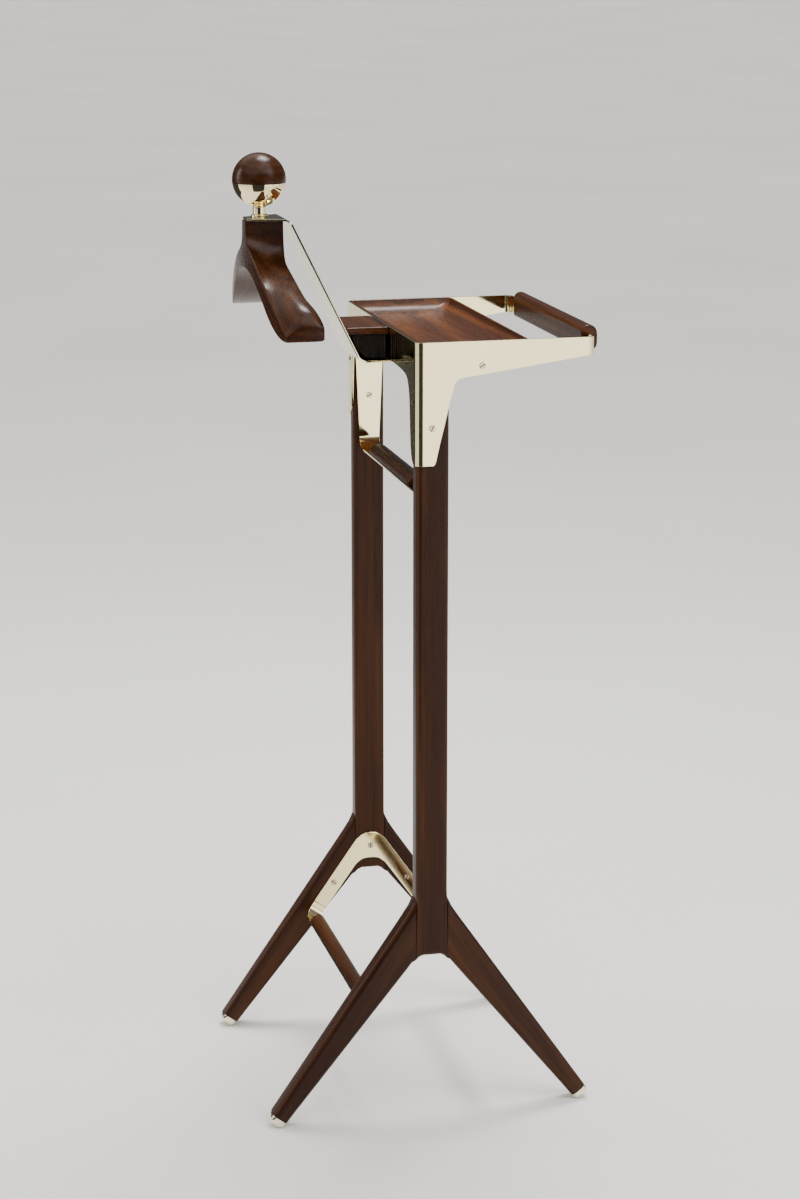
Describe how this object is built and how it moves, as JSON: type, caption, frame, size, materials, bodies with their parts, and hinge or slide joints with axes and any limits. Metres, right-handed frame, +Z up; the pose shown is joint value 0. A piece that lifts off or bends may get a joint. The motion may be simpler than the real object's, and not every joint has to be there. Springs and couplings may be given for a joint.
{
  "type": "valet stand",
  "caption": "Free-standing walnut and brass valet stand with a dished tray, coat hanger, trouser bar, shoe rest and lift-out clothes brush.",
  "frame": {"origin": "centre of the footprint on the floor", "axes": "+Z up, +X across the two side frames, -Y towards the tray and front bar, +Y towards the coat hanger"},
  "size_m": [0.3702, 0.4156, 1.1848],
  "materials": {
    "walnut": "semi-gloss reddish-brown walnut",
    "brass": "mirror-polished pale brass",
    "bristle": "matt dark natural bristle"
  },
  "bodies": {
    "stand": {"ball_bowl": "brass", "ball_cap": "walnut", "ball_neck": "brass", "bracket": "brass", "front_bar": "walnut", "hanger": "walnut", "hanger_strap": "brass", "leg_back_left": "walnut", "leg_back_right": "walnut", "leg_front_left": "walnut", "leg_front_right": "walnut", "post_left": "walnut", "post_right": "walnut", "screw_arm_back_left": "brass", "screw_arm_back_right": "brass", "screw_arm_front_left": "brass", "screw_arm_front_right": "brass", "screw_back_left": "brass", "screw_back_right": "brass", "screw_hub_left": "brass", "screw_hub_right": "brass", "screw_post_left": "brass", "screw_post_right": "brass", "screw_tray_left": "brass", "screw_tray_right": "brass", "screw_trouser_left": "brass", "screw_trouser_right": "brass", "shoe_bar_back": "walnut", "shoe_bar_front": "walnut", "shoe_plate_left": "brass", "shoe_plate_right": "brass", "shoe_strap_back": "brass", "shoe_strap_front": "brass", "tip_back_left": "brass", "tip_back_right": "brass", "tip_front_left": "brass", "tip_front_right": "brass", "tray": "walnut", "trouser_bar": "walnut", "trouser_strap": "brass"},
    "brush": {"brush_back": "walnut", "bristles": "bristle"}
  },
  "joints": [
    {"name": "brush_lift", "type": "slide", "parent": "stand", "child": "brush", "axis": [0, 0, 1], "range_m": [0, 0.12]}
  ]
}
